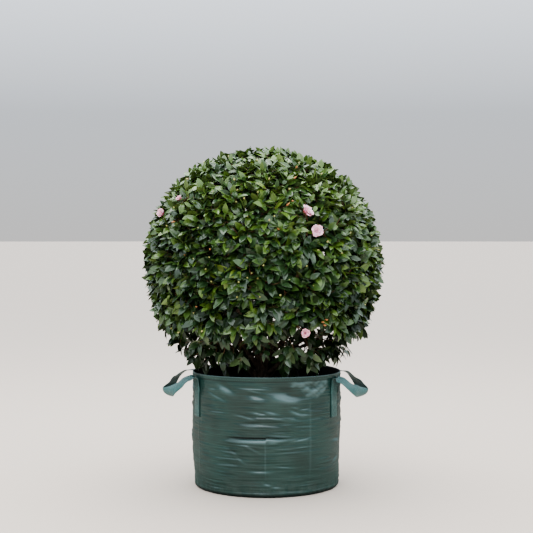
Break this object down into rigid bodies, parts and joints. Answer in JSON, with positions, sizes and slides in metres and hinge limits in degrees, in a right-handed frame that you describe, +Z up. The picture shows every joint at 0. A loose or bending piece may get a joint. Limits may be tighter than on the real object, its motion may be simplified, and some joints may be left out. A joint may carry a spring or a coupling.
{
  "type": "potted clipped camellia ball",
  "caption": "Camellia shrub clipped to a ball with pale pink blooms, in a round woven planter bag with two webbing handles.",
  "frame": {"origin": "the middle of the bag's flat underside", "axes": "+Z up; -Y is the front that the picture shows; the two handles are on -X and +X"},
  "size_m": [0.8598, 0.8688, 1.2498],
  "materials": {
    "woven_bag": "woven plastic tape, half gloss",
    "webbing": "woven webbing, satin",
    "potting_mix": "damp bark and compost, matt",
    "bark": "smooth grey-brown bark, matt",
    "foliage": "glossy evergreen leaves"
  },
  "bodies": {
    "root": {"bag": "woven_bag", "handle_left": "webbing", "handle_right": "webbing", "potting_mix": "potting_mix", "trunk": "bark", "centre_bough": "bark", "main_bough_1": "bark", "main_bough_2": "bark", "main_bough_3": "bark", "main_bough_4": "bark", "main_bough_5": "bark", "main_bough_6": "bark", "low_bough_1": "bark", "low_bough_2": "bark", "low_bough_3": "bark", "low_bough_4": "bark", "low_bough_5": "bark", "low_bough_6": "bark", "ball_foliage": "foliage", "skirt_foliage_1": "foliage", "skirt_foliage_2": "foliage", "skirt_foliage_3": "foliage", "skirt_foliage_4": "foliage", "skirt_foliage_5": "foliage", "skirt_foliage_6": "foliage"}
  },
  "joints": []
}
